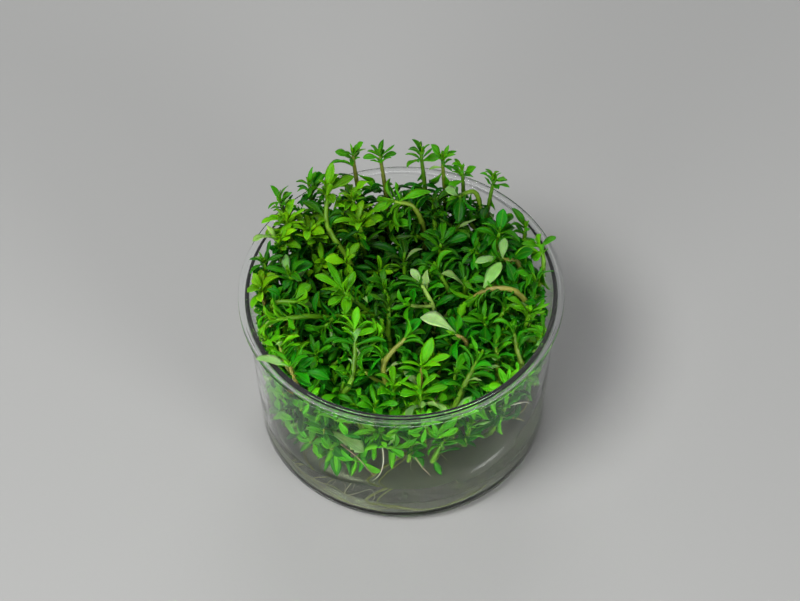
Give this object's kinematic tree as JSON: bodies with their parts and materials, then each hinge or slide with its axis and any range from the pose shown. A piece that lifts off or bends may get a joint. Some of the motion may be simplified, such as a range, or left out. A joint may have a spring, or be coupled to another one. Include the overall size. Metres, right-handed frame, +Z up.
{
  "type": "cup of aquarium plantlets",
  "caption": "Small clear plastic cup with a flat rim, holding leafy aquarium stem plantlets rooted in translucent gel.",
  "frame": {"origin": "centre of the cup's foot ring, on the surface it stands on", "axes": "+Z up through the cup's mouth, -Y to the front, where the gel's top slopes up to the right (+X)"},
  "size_m": [0.0846, 0.085, 0.066],
  "materials": {
    "clear_plastic": "clear, glossy",
    "gel": "translucent, moist",
    "foliage": "smooth leaf, slightly glossy"
  },
  "bodies": {
    "root": {"cup": "clear_plastic", "gel": "gel", "sprig_back_1": "foliage", "sprig_back_2": "foliage", "sprig_back_3": "foliage", "sprig_back_4": "foliage", "sprig_back_5": "foliage", "sprig_back_6": "foliage", "sprig_back_7": "foliage", "sprig_back_8": "foliage", "sprig_left_1": "foliage", "sprig_left_2": "foliage", "sprig_left_3": "foliage", "sprig_left_4": "foliage", "sprig_left_5": "foliage", "sprig_left_6": "foliage", "sprig_left_7": "foliage", "sprig_left_8": "foliage", "sprig_left_9": "foliage", "sprig_left_10": "foliage", "sprig_left_11": "foliage", "sprig_left_12": "foliage", "sprig_left_13": "foliage", "sprig_left_14": "foliage", "sprig_left_15": "foliage", "sprig_left_16": "foliage", "sprig_mid_1": "foliage", "sprig_mid_2": "foliage", "sprig_mid_3": "foliage", "sprig_mid_4": "foliage", "sprig_mid_5": "foliage", "sprig_mid_6": "foliage", "sprig_mid_7": "foliage", "sprig_mid_8": "foliage", "sprig_mid_9": "foliage", "sprig_mid_10": "foliage", "sprig_mid_11": "foliage", "sprig_mid_12": "foliage", "sprig_mid_13": "foliage", "sprig_right_1": "foliage", "sprig_right_2": "foliage", "sprig_right_3": "foliage", "sprig_right_4": "foliage", "sprig_right_5": "foliage", "sprig_right_6": "foliage", "sprig_right_7": "foliage", "sprig_right_8": "foliage", "sprig_right_9": "foliage", "sprig_right_10": "foliage", "sprig_right_11": "foliage", "sprig_right_12": "foliage", "sprig_right_13": "foliage", "sprig_front_1": "foliage", "sprig_front_2": "foliage", "sprig_front_3": "foliage", "sprig_front_4": "foliage", "sprig_front_5": "foliage", "sprig_front_6": "foliage", "sprig_front_7": "foliage", "sprig_front_8": "foliage"}
  },
  "joints": []
}
